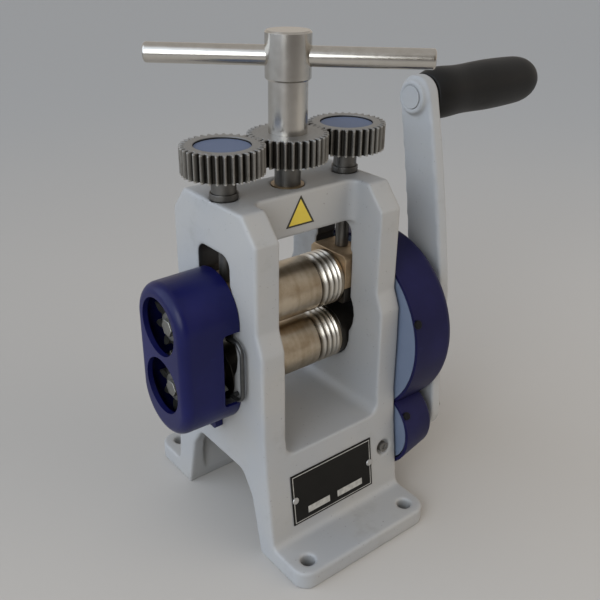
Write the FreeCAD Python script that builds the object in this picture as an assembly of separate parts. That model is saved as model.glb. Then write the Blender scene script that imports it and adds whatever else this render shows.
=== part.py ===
import FreeCAD, Part
import math
import os

from FreeCAD import Vector

os.makedirs("parts", exist_ok=True)

# A hand cranked jewellers rolling mill. Millimetres, +Z up.
# X runs along the rolls towards the crank, -Y is the front, z = 0 is the bench.

# Screw-down gearing on top of the frame
ADJUST_MODULE = 1.5
ADJUST_TEETH = 33
SCREW_X = ADJUST_MODULE * ADJUST_TEETH
ADJUST_GEAR_BOTTOM = 265.2
ADJUST_GEAR_TOP = 282.9
NECK_R = 7.95
THREAD_R = 6.5

# Cast frame
FRAME_HALF_W = 59.6
GAP_HALF_W = 41.4
FRAME_TOP = 249.3
SHOULDER_Z = 232.8
UPRIGHT_HALF_D = 46.8
TOP_HALF_D = 32.6
BRIDGE_HALF_D = 18.7
BRIDGE_BOTTOM = 220.0
SILL_Z = 80.5
BASE_HALF_D = 97.0
FLANGE_TOP = 13.8
BOLT_X = 46.0
BOLT_Y = 84.5
BOLT_HOLE_R = 5.25

# Rolls
ROLL_R = 20.0
ROLL_HALF_L = 41.0
JOURNAL_R = 11.0
GEAR_SEAT_R = 9.0
LOWER_Z = 127.8
ROLL_GAP = 5.0
UPPER_Z = LOWER_Z + 2 * ROLL_R + ROLL_GAP

# Timing gears that join the two rolls, inside the left cover
TIMING_TEETH = 10
TIMING_R = ROLL_R
TIMING_TIP_R = 24.4
TIMING_ROOT_R = 15.0

# Reduction gear between the crank and the lower roll, on the right
DRIVE_MODULE = 2.0
DRIVE_TEETH = 65
PINION_TEETH = 18
DRIVE_DISTANCE = DRIVE_MODULE * (DRIVE_TEETH + PINION_TEETH) / 2
PINION_Y = -38.5
PINION_Z = LOWER_Z - math.sqrt(DRIVE_DISTANCE ** 2 - PINION_Y ** 2)
CRANK_SHAFT_R = 7.5
BOSS_FACE_X = FRAME_HALF_W + 1.0

# Crank
GRIP_Y = -4.0
GRIP_Z = 292.5
ARM_THICK = 10.0
ARM_LOW_X = 101.0
ARM_HIGH_X = 109.0
ARM_LOW_HALF = 18.2
ARM_HIGH_HALF = 14.8
ARM_SIDE_R = 1500.0
ARM_BEND_R = 60.0
ARM_EDGE_R = 2.0

RUNNING = 0.05


def box(x0, x1, y0, y1, z0, z1):
    return Part.makeBox(x1 - x0, y1 - y0, z1 - z0, Vector(x0, y0, z0))


def rod(start, axis, radius, length):
    return Part.makeCylinder(radius, length, Vector(*start), Vector(*axis))


def x_rod(x0, x1, y, z, radius):
    return rod((x0, y, z), (1, 0, 0), radius, x1 - x0)


def z_rod(x, y, z0, z1, radius):
    return rod((x, y, z0), (0, 0, 1), radius, z1 - z0)


def polygon(points):
    return Part.makePolygon([Vector(*p) for p in points] + [Vector(*points[0])])


def prism(points, direction):
    return Part.Face(polygon(points)).extrude(Vector(*direction))


def one(shape):
    """Join touching faces of a boolean result and give back its single solid."""
    shape = shape.removeSplitter()
    return shape.Solids[0] if len(shape.Solids) == 1 else shape


def fuse(*shapes):
    return one(shapes[0].multiFuse(list(shapes[1:])))


def edges_where(shape, test):
    return [e for e in shape.Edges if test(e)]


def edge_length_along(edge, axis):
    box_ = edge.BoundBox
    return {"x": box_.XLength, "y": box_.YLength, "z": box_.ZLength}[axis]


def is_line_along(edge, axis, at_least=1.0):
    others = [a for a in "xyz" if a != axis]
    straight = all(edge_length_along(edge, a) < 1e-3 for a in others)
    return straight and edge_length_along(edge, axis) > at_least


def save(name, *shapes):
    solids = [s for shape in shapes for s in shape.Solids]
    shape = solids[0] if len(solids) == 1 else Part.makeCompound(solids)
    shape.exportStep("parts/" + name + ".step")


def stadium(y, z_low, z_high, radius, x):
    """Closed wire: a tall slot outline in a plane of constant x."""
    low_left = Vector(x, y - radius, z_low)
    low_right = Vector(x, y + radius, z_low)
    high_left = Vector(x, y - radius, z_high)
    high_right = Vector(x, y + radius, z_high)
    bottom = Part.Arc(low_left, Vector(x, y, z_low - radius), low_right).toShape()
    top = Part.Arc(high_right, Vector(x, y, z_high + radius), high_left).toShape()
    right = Part.makeLine(low_right, high_right)
    left = Part.makeLine(high_left, low_left)
    return Part.Wire([bottom, right, top, left])


def rounded_slab(x0, x1, y0, y1, z0, z1, radius, axis):
    slab = box(x0, x1, y0, y1, z0, z1)
    edges = edges_where(slab, lambda e: is_line_along(e, axis))
    return slab.makeFillet(radius, edges)


# Gears. Each flank is a true involute laid through a few points.

def involute_angle(base_r, radius):
    if radius <= base_r:
        return 0.0
    t = math.sqrt((radius / base_r) ** 2 - 1)
    return t - math.atan(t)


def gear_outline(teeth, pitch_r, tip_r, root_r, backlash, pressure=20.0, steps=4):
    """Points (u, v) of a spur gear with a tooth centred on +u."""
    base_r = pitch_r * math.cos(math.radians(pressure))
    half = (math.pi / teeth - backlash / pitch_r) / 2
    at_pitch = involute_angle(base_r, pitch_r)
    first = max(base_r, root_r)
    radii = [first + (tip_r - first) * i / (steps - 1) for i in range(steps)]
    flank = [(root_r, half + at_pitch)] if root_r < base_r - 0.05 else []
    flank += [(r, half + at_pitch - involute_angle(base_r, r)) for r in radii]
    points = []
    for tooth in range(teeth):
        middle = 2 * math.pi * tooth / teeth
        for r, a in flank:
            points.append((r * math.cos(middle - a), r * math.sin(middle - a)))
        for r, a in reversed(flank):
            points.append((r * math.cos(middle + a), r * math.sin(middle + a)))
    return points


def turned(points, angle):
    c = math.cos(angle)
    s = math.sin(angle)
    return [(c * u - s * v, s * u + c * v) for u, v in points]


def z_gear(x, outline, z0, z1):
    return prism([(x + u, v, z0) for u, v in outline], (0, 0, z1 - z0))


def x_gear(y, z, outline, x0, x1):
    return prism([(x0, y + u, z + v) for u, v in outline], (x1 - x0, 0, 0))


# Frame

def frame_outline():
    """Side view of the casting above the feet, as (y, z), front half first."""
    front = [(-63.6, FLANGE_TOP - 1), (-62.6, 20.0), (-56.46, 66.0), (-53.8, 95.0), (-52.6, 160.6),
             (-UPRIGHT_HALF_D, 174.5), (-UPRIGHT_HALF_D, SHOULDER_Z), (-TOP_HALF_D, FRAME_TOP)]
    return front + [(-y, z) for y, z in reversed(front)]


def frame_body():
    points = [(-FRAME_HALF_W, y, z) for y, z in frame_outline()]
    body = prism(points, (2 * FRAME_HALF_W, 0, 0))
    flange = rounded_slab(-FRAME_HALF_W, FRAME_HALF_W, -BASE_HALF_D, BASE_HALF_D, 0, FLANGE_TOP, 12, "z")
    foot_roots = []
    body = fuse(body, flange)
    for edge in body.Edges:
        mid = edge.BoundBox.Center
        if is_line_along(edge, "x", 60) and abs(mid.z - FLANGE_TOP) < 0.1 and 60 < abs(mid.y) < 66:
            foot_roots.append(edge)
    return body.makeFillet(5.0, foot_roots)


def roll_window():
    """Opening between the uprights, with the bridge left standing at the top."""
    low = rounded_slab(-GAP_HALF_W, GAP_HALF_W, -80, 80, SILL_Z, FRAME_TOP + 30, 8, "y")
    bridge = box(-GAP_HALF_W - 1, GAP_HALF_W + 1, -BRIDGE_HALF_D, BRIDGE_HALF_D, BRIDGE_BOTTOM, FRAME_TOP + 40)
    return low.cut(bridge)


def base_hollow():
    """The casting is open underneath, and each side wall has an arch between its feet."""
    wall = 10.0
    hollow = rounded_slab(-FRAME_HALF_W + wall, FRAME_HALF_W - wall, -46, 46, -1, 62, 6, "z")
    arch_points = [(-48, -1), (-38, 44), (-27, 60.3), (27, 60.3), (38, 44), (48, -1)]
    arch = prism([(-FRAME_HALF_W - 1, y, z) for y, z in arch_points], (2 * FRAME_HALF_W + 2, 0, 0))
    arch = arch.makeFillet(8, edges_where(arch, lambda e: is_line_along(e, "x") and e.BoundBox.Center.z > 10))
    return hollow.fuse(arch)


def bearing_slot(side):
    """Opening through one upright for the roll bearings, the lift spring and the screw."""
    x0 = side * GAP_HALF_W - 1 if side > 0 else -FRAME_HALF_W - 1
    length = FRAME_HALF_W - GAP_HALF_W + 2
    block = box(x0, x0 + length, -19.6, 19.6, LOWER_Z, 197.0)
    low_bore = x_rod(x0, x0 + length, 0, LOWER_Z, 19.45)
    spring_pocket = x_rod(x0, x0 + length, 0, 148, 24.0)
    top = rounded_slab(x0, x0 + length, -17.9, 17.9, 190, 217, 8, "x")
    return fuse(block, low_bore, spring_pocket, top)


def pinion_boss():
    """Round boss for the crank bush. Its machined face stands proud of the side wall."""
    return x_rod(36, BOSS_FACE_X, PINION_Y, PINION_Z, 15.0)


def screw_seats(x):
    """Bore for the nut, and a wider clearance bore for the screw neck above it."""
    nut = z_rod(x, 0, 210, 240.05, 8.5)
    neck = z_rod(x, 0, 240, FRAME_TOP + 1, NECK_R + 0.4)
    return nut.fuse(neck)


def make_frame():
    body = soften(frame_body().cut(base_hollow()))
    body = body.fuse(pinion_boss())
    body = body.cut(roll_window())
    cuts = [bearing_slot(-1), bearing_slot(1), screw_seats(-SCREW_X), screw_seats(SCREW_X)]
    cuts += [z_rod(0, 0, 222, FRAME_TOP + 1, 11.0), z_rod(0, 0, 219, 223, 7.0)]
    cuts += [x_rod(30, 36, PINION_Y, PINION_Z, 11.6), x_rod(35, 62, PINION_Y, PINION_Z, 10.5)]
    cuts += [x_rod(-60, -49.5, SPRING_ANCHOR_Y, SPRING_LOW, SPRING_WIRE_R + 0.1)]
    cuts += [z_rod(x, y, -1, FLANGE_TOP + 1, BOLT_HOLE_R) for x in (-BOLT_X, BOLT_X) for y in (-BOLT_Y, BOLT_Y)]
    cuts += [x_rod(-60, -48, y, z, 2.55) for y, z in LEFT_COVER_SCREWS]
    cuts += [x_rod(48, 60, y, z, 2.55) for y, z in BACK_PLATE_SCREWS]
    cuts += [plug_shape(6.02)]
    body = body.cut(Part.makeCompound(cuts))
    corners = edges_where(body, lambda e: is_line_along(e, "z", 20)
                          and abs(abs(e.BoundBox.Center.x) - GAP_HALF_W) < 0.1
                          and abs(abs(e.BoundBox.Center.y) - BRIDGE_HALF_D) < 0.1)
    return body.makeFillet(7.0, corners)


def soften(body):
    """Round the long outer edges of the casting where the foundry pattern is rounded."""
    def outer(edge):
        c = edge.BoundBox.Center
        on_side = abs(abs(c.x) - FRAME_HALF_W) < 0.05 and edge_length_along(edge, "x") < 1e-3
        long_one = edge.Length > 12 and len(edge.Vertexes) == 2
        outside = abs(c.y) > 39 and c.z > 18
        return on_side and long_one and outside and edge.Curve.TypeId == "Part::GeomLine"
    try:
        return body.makeFillet(1.6, edges_where(body, outer))
    except Exception:
        return body


# Name plate, sign and plug on the front. The front face leans out below the window.

PLATE_W = 74.0
PLATE_H = 40.0
PLATE_MID = (-3.6, 43.8)
PLATE_T = 0.8


def front_y(z):
    return -57.0 - (62.0 - z) * (62.6 - 57.0) / 42.0


def front_normal():
    lean = math.atan((62.6 - 57.0) / 42.0)
    return Vector(0, -math.cos(lean), math.sin(lean))


def front_up():
    lean = math.atan((62.6 - 57.0) / 42.0)
    return Vector(0, math.sin(lean), math.cos(lean))


def on_front(x, z, lift=0.0):
    return Vector(x, front_y(z), z) + front_normal() * lift


def plate_shape():
    centre = on_front(PLATE_MID[0], PLATE_MID[1], 0.02)
    up = front_up() * (PLATE_H / 2)
    side = Vector(PLATE_W / 2, 0, 0)
    corners = [centre - side - up, centre + side - up, centre + side + up, centre - side + up]
    sheet = Part.Face(Part.makePolygon(corners + corners[:1])).extrude(front_normal() * PLATE_T)
    return sheet


RIVET_OFFSET = PLATE_W / 2 - 2.6


def rivet(x):
    base = on_front(x, PLATE_MID[1], PLATE_T + 0.04)
    head = Part.makeCylinder(2.6, 0.9, base, front_normal())
    rim = edges_where(head, lambda e: e.Length > 10 and (e.BoundBox.Center - base).Length > 0.5)
    return head.makeFillet(0.7, rim)


def plug_shape(radius):
    centre = on_front(47.0, 49.5, -4.0)
    return Part.makeCylinder(radius, 20, centre, front_normal())


def make_plug():
    centre = on_front(47.0, 49.5, -3.9)
    plug = Part.makeCylinder(3.9, 4.3, centre, front_normal())
    slot_at = on_front(47.0, 49.5, -0.6)
    socket = Part.makeCylinder(1.6, 3, slot_at, front_normal())
    return plug.cut(socket)


def make_sign():
    """Bare triangular sign on the bridge."""
    y = -BRIDGE_HALF_D - 0.02
    corners = [(-15.4, y, 226.6), (7.6, y, 226.6), (-3.6, y, 246.8)]
    return prism(corners, (0, -0.3, 0))


# Rolls

GROOVE_WIDTHS = (5.2, 4.0, 2.9, 1.9)
GROOVE_START = 23.4
LAND = 0.8


def barrel_profile():
    """Half section of the barrel as (x, r): smooth part, then wire grooves, then the end."""
    points = [(-ROLL_HALF_L, 0), (-ROLL_HALF_L, ROLL_R - 1), (-ROLL_HALF_L + 1, ROLL_R)]
    x = GROOVE_START
    for width in GROOVE_WIDTHS:
        points += [(x, ROLL_R), (x + width / 2, ROLL_R - width / 2), (x + width, ROLL_R)]
        x += width + LAND
    points += [(ROLL_HALF_L - 0.6, ROLL_R), (ROLL_HALF_L, ROLL_R - 0.6), (ROLL_HALF_L, 0)]
    return points


def make_roll(z, right_end):
    profile = [(x, 0, z + r) for x, r in barrel_profile()]
    face = Part.Face(polygon(profile))
    barrel = face.revolve(Vector(0, 0, z), Vector(1, 0, 0), 360)
    left_journal = x_rod(-62.0, -40, 0, z, JOURNAL_R)
    left_seat = x_rod(-92.0, -61, 0, z, GEAR_SEAT_R)
    key = key_flat(z, -88, -66)
    bolt_hole = x_rod(-93, -78, 0, z, 4.05)
    pieces = [barrel, left_journal, left_seat, x_rod(40, 59.0, 0, z, JOURNAL_R)]
    if right_end:
        pieces += [x_rod(58, 67.0, 0, z, JOURNAL_R), x_rod(66, 96.5, 0, z, GEAR_SEAT_R)]
    roll = fuse(*pieces)
    cuts = [key, bolt_hole]
    if right_end:
        cuts.append(key_flat(z, 69, 87))
    return one(roll.cut(Part.makeCompound(cuts)))


def key_flat(z, x0, x1):
    return box(x0, x1, -2.5, 2.5, z + GEAR_SEAT_R - 2.5, z + GEAR_SEAT_R + 3)


def roll_key(z, x0, x1):
    return box(x0 + 0.2, x1 - 0.2, -2.45, 2.45, z + GEAR_SEAT_R - 2.45, z + GEAR_SEAT_R + 1.8)


def make_timing_gear(z, phase):
    outline = gear_outline(TIMING_TEETH, TIMING_R, TIMING_TIP_R, TIMING_ROOT_R, 0.9, 20, 5)
    outline = turned(outline, math.pi / 2 + phase)
    gear = x_gear(0, z, outline, -90.5, -66.6)
    hub = x_rod(-66.7, -62.2, 0, z, 13.0)
    bore = x_rod(-92, -61, 0, z, GEAR_SEAT_R + 0.02)
    keyway = box(-92, -61, -2.5, 2.5, z, z + GEAR_SEAT_R + 1.9)
    return one(gear.fuse(hub).cut(bore).cut(keyway))


def make_end_bolt(z):
    """Washer and hexagon bolt that hold a timing gear on its roll."""
    washer = x_rod(-93.6, -92.1, 0, z, 11.0)
    hexagon = [(-93.5, 7.5 * math.cos(k * math.pi / 3), z + 7.5 * math.sin(k * math.pi / 3)) for k in range(6)]
    head = prism(hexagon, (-4.0, 0, 0))
    shank = x_rod(-93.6, -80, 0, z, 4.0)
    return fuse(washer, head, shank)


# Bearings

BLOCK_TOP = UPPER_Z + 20.5

def make_lower_bearing(side):
    x0 = side * 41.8 if side > 0 else -59.3
    bush = x_rod(x0, x0 + 17.5, 0, LOWER_Z, 19.4)
    return bush.cut(x_rod(x0 - 1, x0 + 19, 0, LOWER_Z, JOURNAL_R + RUNNING))


def make_upper_bearing(side):
    x0 = side * 41.8 if side > 0 else -59.3
    block = box(x0, x0 + 17.5, -19.3, 19.3, UPPER_Z - 4.2, BLOCK_TOP)
    block = block.makeChamfer(3.0, edges_where(block, lambda e: is_line_along(e, "x") and e.BoundBox.Center.z > 190))
    return block.cut(x_rod(x0 - 1, x0 + 19, 0, UPPER_Z, JOURNAL_R + RUNNING))


def make_keeper(side):
    x0 = side * 41.8 if side > 0 else -59.3
    block = box(x0, x0 + 17.5, -19.0, 19.0, UPPER_Z - 16.5, UPPER_Z - 4.3)
    block = block.makeChamfer(2.0, edges_where(block, lambda e: is_line_along(e, "x") and e.BoundBox.Center.z < UPPER_Z - 14))
    block = block.cut(x_rod(x0 - 1, x0 + 19, 0, UPPER_Z, JOURNAL_R + RUNNING))
    if side < 0:
        block = block.cut(x_rod(-60, -50.5, SPRING_EYE_Y, SPRING_HIGH, SPRING_WIRE_R + 0.1))
    return block


# Screw-down

def make_screw(x):
    neck = z_rod(x, 0, 247.0, ADJUST_GEAR_BOTTOM - 3.2, NECK_R)
    thread = z_rod(x, 0, 196.0, 247.5, THREAD_R)
    foot = z_rod(x, 0, BLOCK_TOP + 0.3, 196.5, THREAD_R - 1.0)
    seat = z_rod(x, 0, ADJUST_GEAR_BOTTOM - 3.3, ADJUST_GEAR_TOP - 4.0, 6.0)
    return fuse(neck, thread, foot, seat)


def make_nut(x):
    nut = z_rod(x, 0, 217.4, 239.8, 8.45)
    return nut.cut(z_rod(x, 0, 216, 241, THREAD_R + RUNNING))


def make_collar(x):
    ring = z_rod(x, 0, FRAME_TOP + 0.05, FRAME_TOP + 4.0, 9.1)
    return ring.cut(z_rod(x, 0, FRAME_TOP - 1, FRAME_TOP + 5, NECK_R + 0.1))


def adjust_outline():
    pitch_r = SCREW_X / 2
    tip_r = pitch_r + ADJUST_MODULE
    root_r = pitch_r - 1.25 * ADJUST_MODULE
    return gear_outline(ADJUST_TEETH, pitch_r, tip_r, root_r, 0.22)


def make_adjust_gear(x):
    """Side gear: shallow dish for the coloured disc, hub underneath."""
    gear = z_gear(x, adjust_outline(), ADJUST_GEAR_BOTTOM, ADJUST_GEAR_TOP)
    hub = z_rod(x, 0, ADJUST_GEAR_BOTTOM - 3.0, ADJUST_GEAR_BOTTOM + 1, 8.8)
    dish = z_rod(x, 0, ADJUST_GEAR_TOP - 4.0, ADJUST_GEAR_TOP + 1, 17.8)
    bore = z_rod(x, 0, ADJUST_GEAR_BOTTOM - 4, ADJUST_GEAR_TOP, 6.05)
    return one(gear.fuse(hub).cut(dish.fuse(bore)))


def make_gear_disc(x):
    return z_rod(x, 0, ADJUST_GEAR_TOP - 3.9, ADJUST_GEAR_TOP - 1.2, 17.7)


def make_centre_gear():
    gear = z_gear(0, adjust_outline(), ADJUST_GEAR_BOTTOM, ADJUST_GEAR_TOP)
    return one(gear.cut(z_rod(0, 0, 260, 290, 8.02)))


def make_centre_shaft():
    low = z_rod(0, 0, 228.0, ADJUST_GEAR_BOTTOM - 0.05, 8.6)
    high = z_rod(0, 0, ADJUST_GEAR_BOTTOM - 0.1, 308.0, 8.0)
    return fuse(low, high)


def make_centre_bush():
    bush = z_rod(0, 0, 222.1, FRAME_TOP, 10.95)
    return bush.cut(z_rod(0, 0, 227.6, FRAME_TOP + 1, 8.6 + RUNNING))


def make_tee_stem():
    stem = z_rod(0, 0, ADJUST_GEAR_TOP + 0.05, 317, 12.5)
    hub = z_rod(0, 0, 315.6, 344.7, 14.5)
    hub = hub.makeChamfer(1.2, edges_where(hub, lambda e: e.Length > 60))
    body = fuse(stem, hub)
    cross = rod((-30 * BAR_DIR[0], -30 * BAR_DIR[1], BAR_Z), BAR_DIR, BAR_R + 0.02, 60)
    return one(body.cut(cross).cut(z_rod(0, 0, 280, 309, 8.02)))


BAR_Z = 329.6
BAR_R = 6.25
BAR_LENGTH = 178.0
BAR_ANGLE = math.radians(-42.6)
BAR_DIR = (math.cos(BAR_ANGLE), math.sin(BAR_ANGLE), 0)


def make_tee_bar():
    half = BAR_LENGTH / 2
    bar = rod((-half * BAR_DIR[0], -half * BAR_DIR[1], BAR_Z), BAR_DIR, BAR_R, BAR_LENGTH)
    return bar.makeFillet(1.8, edges_where(bar, lambda e: e.Length > 30 and e.Closed))


# Left cover over the timing gears

LEFT_COVER_X = -101.6
LEFT_COVER_LOW = 125.0
LEFT_COVER_HIGH = 175.0
LEFT_COVER_R = 29.5
LEFT_COVER_SCREWS = ((4.0, 89.0), (34.5, 150.0))


def make_left_cover():
    wall = 2.6
    outer = Part.makeLoft([stadium(0, LEFT_COVER_LOW, LEFT_COVER_HIGH, LEFT_COVER_R, -60.1),
                           stadium(0, LEFT_COVER_LOW, LEFT_COVER_HIGH, LEFT_COVER_R - 0.7, LEFT_COVER_X)], True)
    rim = edges_where(outer, lambda e: abs(e.BoundBox.Center.x - LEFT_COVER_X) < 0.1 and e.BoundBox.XLength < 0.1)
    outer = outer.makeFillet(7.0, rim)
    inner = Part.makeLoft([stadium(0, LEFT_COVER_LOW, LEFT_COVER_HIGH, LEFT_COVER_R - wall, -59.0),
                           stadium(0, LEFT_COVER_LOW, LEFT_COVER_HIGH, LEFT_COVER_R - wall - 0.7,
                                   LEFT_COVER_X + wall + 1.0)], True)
    lugs = [rounded_slab(-66.0, -60.1, -5.0, 13.0, 85.0, 99.0, 2, "x"),
            rounded_slab(-64.0, -60.1, 26.0, 41.0, 143.0, 157.0, 2, "x")]
    shell = fuse(outer, *lugs)
    shell = shell.cut(inner)
    openings = [x_rod(LEFT_COVER_X - 5, LEFT_COVER_X + 8, 0, z, 19.6) for z in (132.4, 175.4)]
    notch = rounded_slab(-72.5, -50, -40, -18, 118.0, 171.5, 3, "y")
    screws = [x_rod(-70, -59, y, z, 2.7) for y, z in LEFT_COVER_SCREWS]
    return one(shell.cut(Part.makeCompound(openings)).cut(notch).cut(Part.makeCompound(screws)))


def machine_screw(x, y, z, side, shank_r, head_r, head_t, length):
    """Cap screw driven along X: the head stands outward on the given side."""
    if side < 0:
        head = x_rod(x - head_t, x, y, z, head_r)
        shank = x_rod(x - 0.1, x + length, y, z, shank_r)
        socket = x_rod(x - head_t - 0.1, x - head_t + 1.6, y, z, head_r * 0.5)
    else:
        head = x_rod(x, x + head_t, y, z, head_r)
        shank = x_rod(x - length, x + 0.1, y, z, shank_r)
        socket = x_rod(x + head_t - 1.6, x + head_t + 0.1, y, z, head_r * 0.5)
    return one(head.fuse(shank).cut(socket))


# Lift spring

SPRING_WIRE_R = 1.5
SPRING_X = -63.6
SPRING_FRONT_Y = -36.5
SPRING_LOW = 122.0
SPRING_HIGH = 165.0
SPRING_ANCHOR_Y = -24.0
SPRING_EYE_Y = -15.5


def make_lift_spring():
    """Hairpin of round wire: the low end sits in the frame, the high end in a bearing keeper."""
    bend = 8.0
    x = SPRING_X
    corner = bend * (1 - math.sqrt(0.5))
    low_end = Vector(x, SPRING_ANCHOR_Y, SPRING_LOW)
    low_turn = Vector(x, SPRING_FRONT_Y + bend, SPRING_LOW)
    low_mid = Vector(x, SPRING_FRONT_Y + corner, SPRING_LOW + corner)
    low_up = Vector(x, SPRING_FRONT_Y, SPRING_LOW + bend)
    high_up = Vector(x, SPRING_FRONT_Y, SPRING_HIGH - bend)
    high_mid = Vector(x, SPRING_FRONT_Y + corner, SPRING_HIGH - corner)
    high_turn = Vector(x, SPRING_FRONT_Y + bend, SPRING_HIGH)
    high_end = Vector(x, SPRING_EYE_Y, SPRING_HIGH)
    path = Part.Wire([Part.makeLine(low_end, low_turn),
                      Part.Arc(low_turn, low_mid, low_up).toShape(),
                      Part.makeLine(low_up, high_up),
                      Part.Arc(high_up, high_mid, high_turn).toShape(),
                      Part.makeLine(high_turn, high_end)])
    section = Part.Wire([Part.makeCircle(SPRING_WIRE_R, low_end, Vector(0, -1, 0))])
    wire = path.makePipeShell([section], True, True)
    ends = []
    for point in (low_end, high_end):
        ends.append(Part.makeSphere(SPRING_WIRE_R, point))
        ends.append(x_rod(x, -51.0, point.y, point.z, SPRING_WIRE_R))
    return fuse(wire, *ends)


# Right side: back plate, big gear cover, small pinion cover

BACK_PLATE_SCREWS = ((-34.0, 172.0), (34.0, 172.0), (-40.0, 104.0), (40.0, 104.0))
GEAR_COVER_R = 71.0
GEAR_COVER_X = 100.0
COVER_WALL = 2.2
PINION_COVER_R = 26.5
COVER_ANGLES = tuple(math.radians(a) for a in (20, 95, 160))
PINION_COVER_ANGLES = tuple(math.radians(a) for a in (143, -60))


def make_back_plate():
    """One sheet that closes the back of both gear covers."""
    main_disc = x_rod(61.0, 65.0, 0, LOWER_Z, GEAR_COVER_R - COVER_WALL - 0.1)
    pinion_disc = x_rod(61.0, 65.0, PINION_Y, PINION_Z, 28.4)
    spacers = [x_rod(59.65, 61.1, y, z, 6.0) for y, z in BACK_PLATE_SCREWS]
    plate = fuse(main_disc, pinion_disc, *spacers)
    cuts = [x_rod(58, 66, 0, LOWER_Z, 13.0), x_rod(58, 66, PINION_Y, PINION_Z, 13.3)]
    cuts += [x_rod(58, 66, y, z, 2.7) for y, z in BACK_PLATE_SCREWS]
    cuts += [x_rod(62.9, 66, y, z, 5.0) for y, z in BACK_PLATE_SCREWS]
    cuts += [cover_screw(a, 1.6, 60, 14) for a in COVER_ANGLES]
    cuts += [pinion_cover_screw(a, 1.6, 22, 14) for a in PINION_COVER_ANGLES]
    return one(plate.cut(Part.makeCompound(cuts)))


def cover_screw(angle, radius, start_r, length):
    centre = Vector(63.0, start_r * math.cos(angle), LOWER_Z + start_r * math.sin(angle))
    return Part.makeCylinder(radius, length, centre, Vector(0, math.cos(angle), math.sin(angle)))


def pinion_cover_screw(angle, radius, start_r, length):
    centre = Vector(63.0, PINION_Y + start_r * math.cos(angle), PINION_Z + start_r * math.sin(angle))
    return Part.makeCylinder(radius, length, centre, Vector(0, math.cos(angle), math.sin(angle)))


def gear_cover_outer():
    drum = x_rod(61.2, GEAR_COVER_X, 0, LOWER_Z, GEAR_COVER_R)
    rim = edges_where(drum, lambda e: e.Length > 200 and e.BoundBox.Center.x > 90)
    return drum.makeFillet(8.0, rim)


def gear_cover_inner():
    drum = x_rod(60, GEAR_COVER_X - COVER_WALL, 0, LOWER_Z, GEAR_COVER_R - COVER_WALL)
    rim = edges_where(drum, lambda e: e.Length > 200 and e.BoundBox.Center.x > 90)
    return drum.makeFillet(6.0, rim)


def pinion_cone(radius_add, x0, x1):
    """Slightly tapered drum around the pinion."""
    low_r = 32.0 + radius_add
    high_r = PINION_COVER_R + radius_add
    return Part.makeCone(low_r, high_r, x1 - x0, Vector(x0, PINION_Y, PINION_Z), Vector(1, 0, 0))


def pinion_hollow():
    return pinion_cone(-2.4, 59.5, 90.0)


def make_gear_cover():
    shell = gear_cover_outer().cut(gear_cover_inner())
    shell = shell.cut(pinion_hollow())
    holes = [cover_screw(a, 1.6, 60, 14) for a in COVER_ANGLES]
    return one(shell.cut(Part.makeCompound(holes)))


def make_gear_cover_screws():
    screws = []
    for angle in COVER_ANGLES:
        shank = cover_screw(angle, 1.5, 64.5, 6.6)
        head = cover_screw(angle, 3.2, GEAR_COVER_R + 0.05, 1.6)
        screws.append(one(shank.fuse(head)))
    return screws


def make_pinion_cover():
    cone = pinion_cone(0.0, 60.1, 92.4)
    rim = edges_where(cone, lambda e: e.Length > 100 and e.BoundBox.Center.x > 90)
    cone = cone.makeFillet(5.0, rim)
    shell = cone.cut(pinion_hollow())
    keep_off = x_rod(55, 110, 0, LOWER_Z, GEAR_COVER_R + 0.1)
    shell = shell.cut(keep_off)
    shell = shell.cut(x_rod(85, 95, PINION_Y, PINION_Z, 8.3))
    holes = [pinion_cover_screw(a, 1.6, 24, 14) for a in PINION_COVER_ANGLES]
    shell = shell.cut(Part.makeCompound(holes))
    return one(shell)


def make_pinion_cover_screws():
    screws = []
    for angle in PINION_COVER_ANGLES:
        shank = pinion_cover_screw(angle, 1.5, 24.5, 7.7)
        head = pinion_cover_screw(angle, 3.0, 32.1, 1.5)
        screws.append(one(shank.fuse(head)))
    return screws


# Drive train

def make_drive_gear():
    pitch_r = DRIVE_MODULE * DRIVE_TEETH / 2
    outline = gear_outline(DRIVE_TEETH, pitch_r, pitch_r + DRIVE_MODULE, pitch_r - 1.25 * DRIVE_MODULE, 0.25, 20, 3)
    outline = turned(outline, drive_line())
    gear = x_gear(0, LOWER_Z, outline, 70.0, 87.0)
    recess = x_rod(82.0, 88, 0, LOWER_Z, 52.0).cut(x_rod(82.0, 88, 0, LOWER_Z, 17.0))
    hub = x_rod(67.2, 70.1, 0, LOWER_Z, 12.4)
    bore = x_rod(66, 90, 0, LOWER_Z, GEAR_SEAT_R + 0.02)
    keyway = box(66, 90, -2.5, 2.5, LOWER_Z, LOWER_Z + GEAR_SEAT_R + 1.9)
    return one(gear.fuse(hub).cut(recess).cut(bore).cut(keyway))


def drive_line():
    """Direction from the lower roll to the pinion in the y-z plane."""
    return math.atan2(PINION_Z - LOWER_Z, PINION_Y)


def make_drive_nut():
    hexagon = [(87.1, 12.5 * math.cos(k * math.pi / 3), LOWER_Z + 12.5 * math.sin(k * math.pi / 3)) for k in range(6)]
    return prism(hexagon, (8.0, 0, 0)).cut(x_rod(86, 97, 0, LOWER_Z, GEAR_SEAT_R + 0.02))


def make_pinion():
    pitch_r = DRIVE_MODULE * PINION_TEETH / 2
    outline = gear_outline(PINION_TEETH, pitch_r, pitch_r + DRIVE_MODULE, pitch_r - 1.25 * DRIVE_MODULE, 0.25, 20, 4)
    gap_at = drive_line() + math.pi + math.pi / PINION_TEETH
    outline = turned(outline, gap_at)
    gear = x_gear(PINION_Y, PINION_Z, outline, 68.0, 89.0)
    return one(gear.cut(x_rod(60, 95, PINION_Y, PINION_Z, CRANK_SHAFT_R + 0.52)))


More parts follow.
